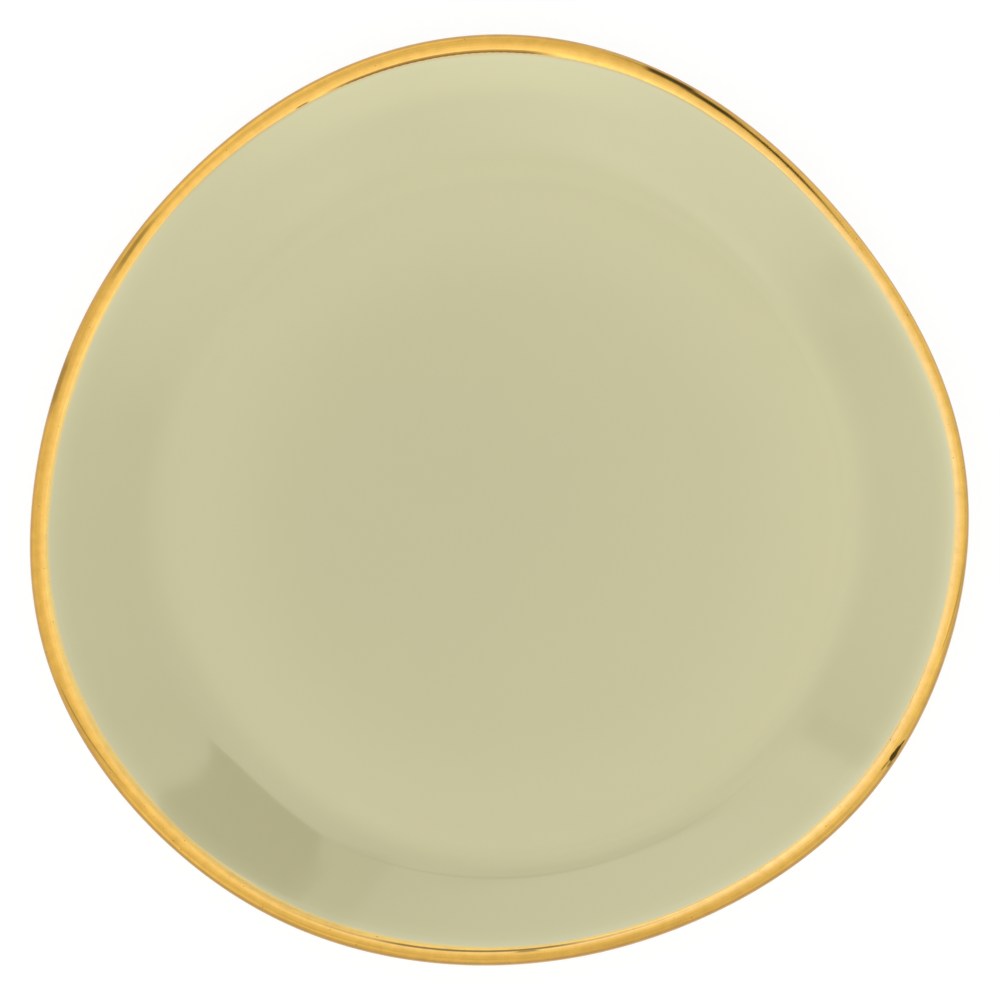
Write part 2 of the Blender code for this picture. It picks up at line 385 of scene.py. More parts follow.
class SkinRule:
    """The plate's skin at a bearing.

    A place on it is a station and a depth. Stations run from -1 in the middle of the well to 0
    at its edge, 1 at the top of the wall, 2 past the round lip, 3 at the bottom outside, and 4
    under the middle of the foot ring.
    """

    def __init__(self, sizes, outline, bearing):
        self.sizes = sizes
        self.cos, self.sin = bearing.math("COSINE"), bearing.math("SINE")
        lip = sizes["Plate Radius"] * closed_curve(bearing, outline)
        edge = sizes["Well Radius"]
        across_x = self.cos * (lip - edge) - sizes["Well Offset X"]
        across_y = self.sin * (lip - edge) - sizes["Well Offset Y"]
        run = (across_x * across_x + across_y * across_y).math("SQRT")
        self.out_x, self.out_y = across_x / run, across_y / run
        self.lip_radius = sizes["Lip Thickness"] * 0.5
        self.reach = run - self.lip_radius
        self.low = sizes["Foot Height"] + sizes["Floor Thickness"] * 0.5
        self.rise = sizes["Plate Height"] - self.lip_radius - self.low
        # The wall's middle line leaves the well flat and straightens towards the lip
        self.lift_run = self.reach * sizes["Cove"].less_from(1)
        slant = (self.lift_run * self.lift_run + self.rise * self.rise).math("SQRT")
        self.steeper = slant * sizes["Dip"] / sizes["Dip Run"]
        ending = sizes["Straight Start"].less_from(1) * 3
        self.top_turn = self.lift_run.math("ARCTAN2", -(self.rise + self.steeper))
        self.pace = slant * ending
        self.run_pace = self.lift_run * ending

    def place(self, station, depth):
        """The position of a point of the skin."""
        sizes = self.sizes
        t = (station - 1.5).math("ABSOLUTE").less_from(1.5).between(0, 1)
        rest = t.less_from(1)
        cove, straight = sizes["Cove"], sizes["Straight Start"]
        early, late, full = rest * rest * t * 3, rest * t * t * 3, t * t * t
        middle = early * cove + late * (cove + straight * cove.less_from(1)) + full
        climb = late * straight + full
        lift = rest * t * straight * 2 + t * t * straight.less_from(1)
        fade = (-rest * self.pace / sizes["Dip Run"]).math("EXPONENT")
        dip = sizes["Dip"] * fade.less_from(1) * t
        slope_run = self.reach * rest * rest * cove + self.lift_run * lift
        slope_up = self.rise * lift + self.steeper * straight.less_from(1) * fade
        half_turn = (station - 1).between(0, 1) * math.pi
        turn = slope_run.math("ARCTAN2", -slope_up) - half_turn
        half = (sizes["Floor Thickness"] * rest + sizes["Lip Thickness"] * t) * 0.5 - depth
        across = self.reach * middle + half * turn.math("COSINE")
        up = self.low + self.rise * climb - dip + half * turn.math("SINE")
        inward = station.between(-1, 0) * sizes["Well Radius"]
        under = (station - 3).math("MAXIMUM", 0) * (sizes["Well Radius"] - sizes["Foot Radius"])
        radius = sizes["Well Radius"] + inward - under
        return vector(
            half.tree,
            self.cos * radius + sizes["Well Offset X"] + self.out_x * across,
            self.sin * radius + sizes["Well Offset Y"] + self.out_y * across,
            up,
        )

    def along(self, station):
        """How far a station inside the plate or on its lip lies past the top of the wall."""
        on_lip = (station.math("MAXIMUM", 1) - 1) * self.lip_radius * math.pi
        return (station.math("MINIMUM", 1) - 1) * self.pace + on_lip

    def station_at(self, along):
        """The station that lies so far past the top of the wall."""
        on_lip = along.math("MAXIMUM", 0) / self.lip_radius / math.pi
        return along.math("MINIMUM", 0) / self.pace + on_lip + 1

    def gold_stations(self, widths):
        """Where the gold begins inside and ends outside, from its width seen from above."""
        seen = self.lip_radius - self.sizes["Gold Width"] * widths
        tangent = self.top_turn.math("COSINE") * self.lip_radius
        on_lip = seen.math("MAXIMUM", tangent) / self.lip_radius
        round_lip = (self.top_turn - on_lip.math("ARCCOSINE")) / math.pi
        down_wall = (tangent - seen).math("MAXIMUM", 0) / self.run_pace
        outside_arc = self.lip_radius * self.top_turn.less_from(math.pi)
        past_lip = (self.sizes["Gold Outside"] - outside_arc) / self.pace
        return round_lip - down_wall + 1, past_lip + 2


SKIN_INPUTS = {
    "Plate Radius": "plate_radius",
    "Plate Height": "plate_height",
    "Foot Height": "foot_height",
    "Floor Thickness": "floor_thickness",
    "Lip Thickness": "lip_thickness",
    "Well Radius": "well_radius",
    "Well Offset X": "well_x",
    "Well Offset Y": "well_y",
    "Foot Radius": "foot_radius",
    "Cove": "cove",
    "Straight Start": "straight",
    "Dip": "dip",
    "Dip Run": "dip_run",
}
COAT_INPUTS = {
    "Gold Width": "gold_width",
    "Gold Outside": "gold_outside",
    "Brush Swing": "brush_swing",
    "Sectors": "sectors",
}


def new_tree(name):
    """A node tree for a modifier: its sizes as formulas, its start and its end."""
    tree = bpy.data.node_groups.new(name, "GeometryNodeTree")
    face = tree.interface
    face.new_socket("Section", in_out="INPUT", socket_type="NodeSocketGeometry")
    for label in (*SKIN_INPUTS, *COAT_INPUTS):
        kind = "NodeSocketInt" if label == "Sectors" else "NodeSocketFloat"
        face.new_socket(label, in_out="INPUT", socket_type=kind)
    face.new_socket("Finish", in_out="INPUT", socket_type="NodeSocketMaterial")
    face.new_socket("Layer", in_out="OUTPUT", socket_type="NodeSocketGeometry")
    start = tree.nodes.new("NodeGroupInput")
    sizes = {label: Formula(tree, start.outputs[label]) for label in (*SKIN_INPUTS, *COAT_INPUTS)}
    return tree, start, sizes


def capture(tree, geometry, values):
    """Keeps numbers on the points of a geometry; gives the geometry and the kept numbers."""
    node = tree.nodes.new("GeometryNodeCaptureAttribute")
    for label in values:
        node.capture_items.new("FLOAT", label)
    feed(tree, node.inputs[0], geometry)
    for label, value in values.items():
        feed(tree, node.inputs[label], value)
    return node.outputs[0], [Formula(tree, node.outputs[label]) for label in values]


def sweep(name, gold=False):
    """A tree that sweeps a section drawing round the plate.

    The drawing's X is the station, or for the gold its share of the band, and its Y the depth in
    metres.
    """
    scene = bpy.context.scene
    tree, start, sizes = new_tree(name)
    spot = add(tree, "ShaderNodeSeparateXYZ", {0: add(tree, "GeometryNodeInputPosition").outputs[0]})
    section, (station, depth) = capture(
        tree, start.outputs["Section"], {"Station": spot.outputs[0], "Depth": spot.outputs[1]},
    )
    profile = add(tree, "GeometryNodeMeshToCurve", {0: section})
    circle = add(tree, "GeometryNodeCurvePrimitiveCircle", {"Resolution": sizes["Sectors"]})
    index = Formula(tree, add(tree, "GeometryNodeInputIndex").outputs[0])
    path, (bearing,) = capture(
        tree, circle.outputs[0], {"Bearing": index * math.tau / sizes["Sectors"]},
    )
    surface = add(tree, "GeometryNodeCurveToMesh", {0: path, 1: profile.outputs[0]})

    rule = SkinRule(sizes, scene.plate_sizes.outline, bearing)
    widths = closed_curve(bearing, scene.coat_sizes.gold_widths)
    gold_in, gold_out = rule.gold_stations(widths)
    kept = {}
    if gold:
        kept["across"] = station
        swings = [
            brush_wander(tree, rule, waves, seed) * sizes["Brush Swing"]
            for waves, seed in BRUSH_SWINGS
        ]
        gold_in = rule.station_at(rule.along(gold_in) + swings[0])
        gold_out = gold_out + swings[1] / rule.pace
        station = gold_in + station * (gold_out - gold_in)
    else:
        inside = rule.along(gold_in) - rule.along(station)
        kept["to_gold"] = inside.math("MAXIMUM", (station - gold_out) * rule.pace)
    placed = add(
        tree, "GeometryNodeSetPosition",
        {"Geometry": surface.outputs[0], "Position": rule.place(station, depth)},
    )
    last = add(
        tree, "GeometryNodeMergeByDistance",
        {"Geometry": placed.outputs[0], "Distance": MERGE_DISTANCE},
    )
    for label, value in kept.items():
        last = add(
            tree, "GeometryNodeStoreNamedAttribute",
            {"Geometry": last.outputs[0], "Name": label, "Value": value},
            data_type="FLOAT", domain="POINT",
        )
    real = add(tree, "GeometryNodeRealizeInstances", {0: last.outputs[0]})
    finished = add(
        tree, "GeometryNodeSetMaterial",
        {"Geometry": real.outputs[0], "Material": start.outputs["Finish"]},
    )
    end = tree.nodes.new("NodeGroupOutput")
    feed(tree, end.inputs[0], finished.outputs[0])
    return tree


def brush_wander(tree, rule, waves, seed):
    """A hand's small swing to and fro as it goes round, from -1 to 1."""
    noise = add(
        tree, "ShaderNodeTexNoise",
        {
            "Vector": vector(tree, rule.cos, rule.sin, seed),
            "Scale": waves / math.tau, "Detail": 3.0, "Roughness": 0.6,
        },
        noise_dimensions="3D",
    )
    return (Formula(tree, noise.outputs[0]) - 0.5) * 2


def swept_piece(name, drawing, material, gold=False, sectors=None):
    """Makes a layer from its section drawing, as a plain mesh with its normals outwards.

    The gold's drawing is a closed loop. The others run from the middle of the plate back to it.
    """
    scene = bpy.context.scene
    last = len(drawing) - 1
    line = bpy.data.meshes.new(name + "_section")
    pairs = [(i, i + 1) for i in range(last)] + ([(last, 0)] if gold else [])
    line.from_pydata([(station, depth, 0) for station, depth in drawing], pairs, [])
    carrier = bpy.data.objects.new(name, line)
    bpy.context.collection.objects.link(carrier)
    modifier = carrier.modifiers.new("Sweep", "NODES")
    modifier.node_group = sweep(name + "_sweep", gold)
    sockets = modifier.node_group.interface.items_tree
    for group, inputs in ((scene.plate_sizes, SKIN_INPUTS), (scene.coat_sizes, COAT_INPUTS)):
        for label, source in inputs.items():
            modifier[sockets[label].identifier] = getattr(group, source)
    modifier[sockets["Finish"].identifier] = material
    if sectors:
        modifier[sockets["Sectors"].identifier] = sectors
    graph = bpy.context.evaluated_depsgraph_get()
    mesh = bpy.data.meshes.new_from_object(carrier.evaluated_get(graph))
    bpy.data.objects.remove(carrier)
    bpy.data.meshes.remove(line)
    outward(mesh)
    mesh.name = name
    piece = bpy.data.objects.new(name, mesh)
    bpy.context.collection.objects.link(piece)
    return piece


def outward(mesh):
    """Turns a closed mesh's faces outwards, by the sign of its volume, and smooths it."""
    corners = np.empty((len(mesh.vertices), 3))
    mesh.vertices.foreach_get("co", corners.ravel())
    mesh.calc_loop_triangles()
    picks = np.empty(len(mesh.loop_triangles) * 3, np.int32)
    mesh.loop_triangles.foreach_get("vertices", picks)
    a, b, c = (corners[picks.reshape(-1, 3)[:, side]] for side in range(3))
    if float(np.einsum("ij,ij->i", a, np.cross(b, c)).sum()) < 0:
        mesh.flip_normals()
    mesh.shade_smooth()
    mesh.set_sharp_from_angle(angle=SHARP_ANGLE)


# Section drawings, in stations and depths

def up_the_skin(depth):
    """From the middle of the well over the lip to the bottom outside."""
    rows = [np.linspace(first, last, rings + 1)[:-1] for first, last, rings in SKIN_RINGS]
    rows.append(np.linspace(2, 3, OUTSIDE_RINGS))
    return [(float(station), depth) for station in np.concatenate(rows)]


def beneath(sizes, radius, height):
    """The drawing's point for a radius and height under the floor."""
    step = sizes.well_radius - sizes.foot_radius
    return 3 + (sizes.well_radius - radius) / step, height - sizes.foot_height


def arc(middle_radius, middle_height, size, first, last, steps):
    """Points of a rounded edge, as radii and heights; angles in degrees."""
    for angle in np.radians(np.linspace(first, last, steps)):
        yield (
            middle_radius + size * float(np.cos(angle)),
            middle_height + size * float(np.sin(angle)),
        )


def glaze_drawing(sizes, coats):
    """Down the outside of the glaze to a soft bead beside the foot, and back inside it."""
    skin = coats.gold
    half = coats.glaze / 2
    stop = sizes.foot_radius + sizes.foot_root / 2 + 2 * half
    bead = arc(stop, sizes.foot_height + skin + half, half, 270, 90, BEAD_STEPS)
    under = np.linspace(sizes.well_radius, stop, UNDER_RINGS + 2)[1:-1]
    outside = up_the_skin(skin) + [
        beneath(sizes, float(radius), sizes.foot_height + skin) for radius in under
    ]
    inner = skin + coats.glaze
    inside = up_the_skin(inner)[::-1]
    return outside + [beneath(sizes, *place) for place in bead] + inside


def clay_drawing(sizes, coats):
    """The clay under its glaze, with the bare foot ring and the ceiling of the recess."""
    under_glaze = coats.gold + coats.glaze - coats.lap
    top = sizes.foot_height + under_glaze
    ceiling = sizes.recess + under_glaze
    face, edge = sizes.foot_face / 2, sizes.foot_edge
    root = sizes.foot_root / 2
    slope = math.degrees(math.atan2(top - edge, root - face - edge))
    foot = [
        *arc(sizes.foot_radius + face, edge, edge, slope - 90, -90, FOOT_EDGE_STEPS),
        *arc(sizes.foot_radius - face, edge, edge, 270, 270 - slope, FOOT_EDGE_STEPS),
    ]
    outside, inside = sizes.foot_radius + root, sizes.foot_radius - root
    outline = [
        (outside + CORNER_REACH, top),
        (outside + CORNER_STEP, top - CORNER_DROP),
        *foot,
        (inside - CORNER_STEP, ceiling - CORNER_DROP),
        (inside - CORNER_REACH, ceiling),
        (0.0, ceiling),
    ]
    return up_the_skin(under_glaze) + [beneath(sizes, *place) for place in outline]


def recess_drawing(sizes, coats):
    """The disc of glaze in the recess, with a rounded rim."""
    half = coats.glaze / 2
    stop = sizes.foot_radius - sizes.foot_root / 2 - 2 * half
    middle = sizes.recess + half
    rim = arc(stop, middle, half, 90, -90, BEAD_STEPS)
    rings = np.linspace(0, stop, RECESS_RINGS + 1)[:-1]
    above = [(float(radius), middle + half) for radius in rings]
    below = [(float(radius), middle - half) for radius in rings[::-1]]
    return [beneath(sizes, *place) for place in (*above, *rim, *below)]


def gold_drawing(coats):
    """The gold's face with its edges drawn thin, and its back inside the glaze."""
    even = np.linspace(0, 1, GOLD_RINGS)
    crowded = (1 - np.cos(even * math.pi)) / 2
    shares = (crowded + 2 * even) / 3
    fullness = np.minimum(1, np.minimum(shares, 1 - shares) / GOLD_RIM_SHARE) ** 0.5
    depths = coats.gold * (1 - fullness) * GOLD_RIM_DEPTH
    face = [(float(place), float(depth)) for place, depth in zip(shares, depths)]
    return face + [(float(place), coats.gold + coats.lap) for place in shares[::-1]]


# Finishes

def new_finish(name, metallic=0.0):
    """A material, its tree and its main shader."""
    material = bpy.data.materials.new(name)
    material.use_nodes = True
    tree = material.node_tree
    shader = tree.nodes["Principled BSDF"]
    shader.inputs["Metallic"].default_value = metallic
    return material, tree, shader


def noise(tree, scale, detail=2.0, roughness=0.5, where=None):
    """Noise from 0 to 1 on the piece's own coordinates."""
    if where is None:
        where = add(tree, "ShaderNodeTexCoord").outputs["Object"]
    node = add(
        tree, "ShaderNodeTexNoise",
        {"Vector": where, "Scale": scale, "Detail": detail, "Roughness": roughness},
    )
    return Formula(tree, node.outputs[0])


def blend(tree, share_of_second, first, second):
    """A colour between two."""
    node = add(tree, "ShaderNodeMix", data_type="RGBA")
    feed(tree, node.inputs["Factor"], share_of_second)
    for key, value in (("A", first), ("B", second)):
        socket = next(s for s in node.inputs if s.name == key and s.type == "RGBA")
        feed(tree, socket, (*value, 1) if isinstance(value, tuple) else value)
    return next(s for s in node.outputs if s.type == "RGBA")


def ramp(value, low, high):
    """0 below low, 1 above high, and smooth between."""
    node = add(
        value.tree, "ShaderNodeMapRange",
        {"Value": value, "From Min": low, "From Max": high},
        interpolation_type="SMOOTHSTEP",
    )
    return Formula(value.tree, node.outputs[0])


def scaled(tree, tone, factor):
    """A colour made lighter or darker by a number."""
    node = add(tree, "ShaderNodeVectorMath", {0: tone}, operation="SCALE")
    feed(tree, node.inputs["Scale"], factor)
    return node.outputs[0]


def bump(tree, height, distance, under=None):
    """A surface direction from a height, on top of another if there is one."""
    node = add(tree, "ShaderNodeBump", {"Height": height, "Distance": distance})
    if under is not None:
        feed(tree, node.inputs["Normal"], under)
    return node.outputs[0]


def own_place(tree):
    """The piece's own X, Y and Z."""
    where = add(tree, "ShaderNodeTexCoord").outputs["Object"]
    spot = add(tree, "ShaderNodeSeparateXYZ", {0: where})
    return [Formula(tree, spot.outputs[side]) for side in range(3)]


def distance(x, y, to_x, to_y):
    """How far a place lies from a point, seen from above."""
    return ((x - to_x) * (x - to_x) + (y - to_y) * (y - to_y)).math("SQRT")


def burnt_and_shade_mark(x, y, across, ragged, mark_x, mark_y, reach, first, last, darkness, fading):
    """How dark a mark that lies along the band is."""
    far = distance(x, y, mark_x, mark_y) + ragged
    near = ramp(far, reach * (1 + fading / 2), reach * (1 - fading))
    soft = (last - first) * MARK_SOFTNESS
    band = ramp(across, first - soft, first + soft) * ramp(across, last + soft, last - soft)
    return near * band * darkness


def dash(x, y, ragged, dash_x, dash_y, degrees, reach, width):
    """1 inside a slanting dash, with a ragged edge."""
    cos, sin = math.cos(math.radians(degrees)), math.sin(math.radians(degrees))
    along = ((x - dash_x) * cos + (y - dash_y) * sin) / reach
    aside = ((y - dash_y) * cos - (x - dash_x) * sin) / width
    return ramp((along * along + aside * aside).math("SQRT") + ragged, *DASH_EDGE)


def scratch(bearing, across, first, last, start, end):
    """1 on a fine line that crosses the band as it goes round."""
    done = (bearing - first) / (last - first)
    off = (across - done * (end - start) - start).math("ABSOLUTE")
    line = ramp(off, SCRATCH_HALF_SHARE, 0.0)
    return line * ramp(done, 0.0, SCRATCH_BEGUN) * ramp(done, 1.0, SCRATCH_ENDING)


def attribute(tree, name):
    """A number kept on the piece's points."""
    return Formula(tree, add(tree, "ShaderNodeAttribute", attribute_name=name).outputs["Fac"])


def painted_glaze_light(x, y, z, edge, sizes):
    """How light the glaze is painted over its own colour, at a distance from the gold's edge: painted
    light and shade.
    """
    top, right = ramp(y, 0.035, 0.065), ramp(x, 0.050, 0.078)
    # Painted shade: darker towards the middle of the well
    light = ramp(distance(x, y, *WELL_SHADE), 0.008, 0.075) * 0.08 + 0.94
    # Painted light: paler over the turn from the well to the wall
    well = sizes.well_radius
    from_well = distance(x, y, sizes.well_x, sizes.well_y)
    front, back = ramp(-y, 0.005, 0.045), ramp(y, 0.044, 0.056) * ramp(x, 0.036, 0.020)
    fall = ramp(from_well, ((back - front) * 0.07 + 1.13) * well, 0.985 * well)
    near_turn = ramp(from_well, 0.92 * well, well) * ramp(x - y, -0.01, 0.045)
    light = light + fall * (ramp(from_well, 0.6 * well, well) * 0.075 + near_turn * 0.032)
    # A thin dark line low on the wall, a painted reflection
    off_reflected_line = (distance(x, y, *REFLECTED_LINE) - REFLECTED_LINE_RADIUS).math("ABSOLUTE")
    reflected_line = ramp(off_reflected_line, REFLECTED_LINE_HALF_WIDTH, 0.0) * ramp(z, 0.0045, 0.0055)
    reflected_line = reflected_line * ramp(x, -0.035, -0.012) * ramp(-y, 0.040, 0.058)
    light = light - reflected_line * (ramp(x, 0.028, 0.005) * 0.045 + 0.036)
    # Painted light: paler towards the gold, from further away on its brightest side
    near_gold = ramp(edge, 0.0055, 0.0) * (top * -0.05 + right * 0.045 + 0.062)
    bright = ramp(distance(x, y, *BRIGHT_SIDE), 0.055, 0.010) * ramp(edge, 0.0125, 0.0045)
    return light * (near_gold + bright * 0.085 + 1)


def glaze_finish():
    """Glossy sage glaze: painted darker in the well as shade and paler over the turn and beside the
    gold as light; cloudy, thin beside the gold, faintly rippled.
    """
    looks, sizes = bpy.context.scene.plate_colours, bpy.context.scene.plate_sizes
    material, tree, shader = new_finish("sage_glaze")
    shader.inputs["IOR"].default_value = GLAZE_IOR
    shader.inputs["Specular IOR Level"].default_value = GLAZE_SPECULAR
    shader.inputs["Specular Tint"].default_value = GLAZE_TINT
    edge = attribute(tree, "to_gold") + (noise(tree, 60) - 0.5) * 0.0008
    x, y, z = own_place(tree)
    top, left = ramp(y, 0.035, 0.065), ramp(-x, 0.02, 0.06)
    # Partly glaze drawn thin beside the gold and partly painted light: the paler, greener tone shows
    # only towards the lower right
    thin_and_sheen_share = ramp(edge, 0.0024, 0.0002) * (top * -0.5 - left * 0.35 + 0.8)
    tone = blend(tree, thin_and_sheen_share, tuple(looks.glaze), tuple(looks.thin_glaze_and_sheen))
    feather = scaled(tree, tuple(looks.feather), top * -0.35 + 1)
    tone = blend(tree, ramp(edge, 0.0007, -0.0003) * 0.8, tone, feather)
    cloud = noise(tree, 14, 3.0) * 0.03 + noise(tree, 110, 3.0, 0.6) * 0.016 + 0.977
    light = painted_glaze_light(x, y, z, edge, sizes)
    feed(tree, shader.inputs["Base Color"], scaled(tree, tone, cloud * light))
    feed(tree, shader.inputs["Roughness"], noise(tree, 45, 2.0) * 0.03 + 0.055)
    ripple = bump(tree, noise(tree, 38, 1.0), 0.00003)
    feed(tree, shader.inputs["Normal"], bump(tree, noise(tree, 900, 2.0), 0.0000015, ripple))
    return material


def clay_finish():
    """Bare stoneware: sandy, specked with iron and scuffed by the table."""
    looks = bpy.context.scene.plate_colours
    material, tree, shader = new_finish("bare_stoneware")
    grain = noise(tree, 1400, 4.0, 0.65)
    specks = ramp(noise(tree, 900, 1.0), 0.66, 0.72)
    sandy = scaled(tree, tuple(looks.clay), grain * 0.22 + noise(tree, 60, 2.0) * 0.12 + 0.83)
    specked = blend(tree, specks * 0.75, sandy, tuple(looks.clay_specks))
    feed(tree, shader.inputs["Base Color"], specked)
    feed(tree, shader.inputs["Roughness"], grain * 0.2 + 0.74)
    feed(tree, shader.inputs["Normal"], bump(tree, grain, 0.00008))
    return material


def gold_finish():
    """Gold lustre laid with a brush, streaked along the lip: painted pale inside as light and browner
    outside as shade, with dark marks partly painted reflection.
    """
    looks = bpy.context.scene.plate_colours
    material, tree, shader = new_finish("gold_lustre", 1.0)
    across = attribute(tree, "across")
    x, y, _ = own_place(tree)
    streaks = noise(tree, 1.0, 3.0, 0.65, vector(tree, x * 60, y * 60, across * 26))
    broad = noise(tree, 1.0, 2.0, 0.5, vector(tree, x * 24, y * 24, across * 9))
    wandering = across + (broad - 0.5) * 0.04
    outer = ramp(wandering, 0.12, 0.31)
    right, front = ramp(x, 0.035, 0.075), ramp(-y, 0.02, 0.06)
    to_right = ramp(x * 0.87 - y * 0.5, -0.03, 0.06)
    # Painted light and shade: the inner edge paler on the right and deeper on the left
    inner_tone = blend(tree, to_right, tuple(looks.shaded_gold), tuple(looks.lit_gold))
    # Painted highlight: brighter gold at the inner rim on the lower left
    rim = ramp(across, 0.10, 0.04) * ramp(x + y, 0.0, -0.07)
    inner_tone = blend(tree, rim, inner_tone, tuple(looks.highlight_gold))
    inner_tone = blend(tree, ramp(wandering, 0.06, 0.30), inner_tone, tuple(looks.rich_gold))
    # Painted light and shade: the outer half of the lip darker than the inner, lighter on the right
    # and darker at the front
    outer_tone = blend(tree, right, tuple(looks.gold), tuple(looks.rich_gold))
    outer_tone = scaled(tree, outer_tone, front * ramp(across, 0.27, 0.36) * -0.06 + 1)
    tone = blend(tree, outer, inner_tone, outer_tone)
    # Painted shade: browner and darker down the outside
    tone = blend(tree, ramp(wandering, 0.40, 0.58), tone, tuple(looks.shaded_brown_gold))
    mottle = noise(tree, 500, 3.0, 0.6) * 0.34
    tone = scaled(tree, tone, streaks * 0.26 + broad * 0.12 + mottle + 0.64)
    # Painted light: lighter towards the outer edge of the band
    tone = scaled(tree, tone, ramp(across, 0.52, 0.60) * 0.14 + 1)
    shade = ramp(x * 0.5 - y * 0.87, -0.02, 0.05) * ramp(across, 0.31, 0.45)
    tone = scaled(tree, tone, shade * ramp(across, 0.60, 0.48) * -0.26 + 1)
    # Fine specks, then the marks along the band, partly painted reflection and painted shade, the
    # dashes of painted reflection, and the scratches
    uneven = streaks - 0.5
    upper = ramp(across, 0.60, 0.54)
    bearing = y.math("ARCTAN2", x) * math.degrees(1)
    darks = [
        *(burnt_and_shade_mark(x, y, across, uneven * 0.002, *mark) for mark in BURNT_AND_SHADE_MARKS),
        *(dash(x, y, uneven * 0.9, *place) * upper * strength for *place, strength in DASHES),
        *(scratch(bearing, across, *route) * strength for *route, strength in SCRATCHES),
    ]
    dark = ramp(noise(tree, 2300, 0.0), 0.82, 0.86) * 0.55
    for mark in darks:
        dark = dark.math("MAXIMUM", mark)
    # The marks at the inner edge are a rusty brown at the far side
    rusty = ramp(across, 0.16, 0.08) * ramp(y, 0.05, 0.07)
    burnt_and_shade = blend(tree, rusty, tuple(looks.burnt_and_shade), tuple(looks.rusty))
    # The dark colour paints specks and marks in the lustre, and also painted reflections and painted
    # shade
    feed(tree, shader.inputs["Base Color"], blend(tree, dark, tone, burnt_and_shade))
    feed(tree, shader.inputs["Roughness"], outer * -0.14 + streaks * 0.12 + 0.26)
    feed(tree, shader.inputs["Normal"], bump(tree, streaks, 0.00002))
    return material


# The stage

def glow_finish(name):
    """A lamp's own light, by the piece's glow."""
    material = bpy.data.materials.new(name)
    material.use_nodes = True
    tree = material.node_tree
    tree.nodes.remove(tree.nodes["Principled BSDF"])
    lamp = add(tree, "ShaderNodeEmission", {"Strength": attribute(tree, "glow")})
    feed(tree, tree.nodes["Material Output"].inputs["Surface"], lamp.outputs[0])
    material.cycles.emission_sampling = "NONE"
    return material


def stage_mesh(name, points, faces, material, glows=()):
    """A piece of the stage, with its glow on its points if it has one."""
    mesh = bpy.data.meshes.new(name)
    mesh.from_pydata(points, [], faces)
    if glows:
        light = mesh.attributes.new("glow", "FLOAT", "POINT")
        light.data.foreach_set("value", glows)
    mesh.materials.append(material)
    piece = bpy.data.objects.new(name, mesh)
    bpy.context.collection.objects.link(piece)
    return piece


def dome_point(radius, azimuth, polar):
    """A point of a dome, by degrees round it and down from its top."""
    round_it, down = math.radians(azimuth), math.radians(polar)
    out = radius * math.sin(down)
    return out * math.cos(round_it), out * math.sin(round_it), radius * math.cos(down)


def smooth_step(value, low, high):
    """0 below low, 1 above high, and smooth between."""
    done = min(1.0, max(0.0, (value - low) / (high - low)))
    return done * done * (3 - 2 * done)


def plateau(value, first, full, ending, last):
    """1 between full and ending, 0 outside first and last, and smooth between."""
    return smooth_step(value, first, full) * (1 - smooth_step(value, ending, last))


def tent_glow(studio):
    """The tent's brightness by azimuth and polar angle, as its lamps light it from outside."""
    around = np.linspace(0, 360, len(studio.sides) + 1)
    sides = [*studio.sides, studio.sides[0]]
    (upper, upper_grey), (lower, lower_grey) = GREY_UPPER, GREY_LOWER

    def glow(azimuth, polar):
        low = smooth_step(polar, SIDES_BEGIN, SIDES_FULL)
        light = float(np.interp(azimuth, around, sides)) * low + studio.overhead * (1 - low)
        grey = upper_grey + (lower_grey - upper_grey) * smooth_step(polar, upper, lower)
        shaded = plateau(azimuth, *GREY_AZIMUTHS) * plateau(polar, *GREY_POLARS)
        light += (studio.overhead * grey - light) * shaded
        soft = PATCH_SOFTNESS
        for first, last, above, below, change in PATCHES:
            inside = plateau(azimuth, first - soft, first + soft, last - soft, last + soft)
            inside *= plateau(polar, above - soft, above + soft, below - soft, below + soft)
            light += change * inside
        return light
    return glow


def seen_rays(tree):
    """1 for what the camera sees itself, in mirrors and through glass."""
    path = add(tree, "ShaderNodeLightPath")
    seen = Formula(tree, path.outputs["Is Camera Ray"])
    for ray in ("Is Glossy Ray", "Is Transmission Ray"):
        seen = seen.math("MAXIMUM", path.outputs[ray])
    return seen


# Operators

def dress(piece, slot, *nodes):
    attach(piece, BODY)
    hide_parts(*nodes)


class PLATE_OT_clay_body(bpy.types.Operator):
    """Make the clay body with its bare foot ring"""

    bl_idname = "plate.clay_body"
    bl_label = "Clay body"

    def execute(self, context):
        scene = context.scene
        drawing = clay_drawing(scene.plate_sizes, scene.coat_sizes)
        piece = swept_piece("clay_body", drawing, clay_finish())
        dress(piece, "clay", "stoneware_body")
        return {"FINISHED"}


class PLATE_OT_glaze(bpy.types.Operator):
    """Make the glaze over the plate and the glaze in the recess of the foot"""

    bl_idname = "plate.glaze"
    bl_label = "Glaze"

    def execute(self, context):
        scene = context.scene
        sizes, coats = scene.plate_sizes, scene.coat_sizes
        material = glaze_finish()
        coat = swept_piece("glaze_over_plate", glaze_drawing(sizes, coats), material)
        dress(coat, "glaze", "glaze_coat")
        disc = swept_piece("glaze_in_recess", recess_drawing(sizes, coats), material)
        dress(disc, "glaze", "foot_recess_glaze")
        return {"FINISHED"}


class PLATE_OT_gold(bpy.types.Operator):
    """Make the band of gold lustre on the lip"""

    bl_idname = "plate.gold"
    bl_label = "Gold lip"

    def execute(self, context):
        drawing = gold_drawing(context.scene.coat_sizes)
        piece = swept_piece(
            "gold_on_lip", drawing, gold_finish(), gold=True, sectors=GOLD_SECTORS,
        )
        dress(piece, "gold", "gold_lip_band")
        return {"FINISHED"}


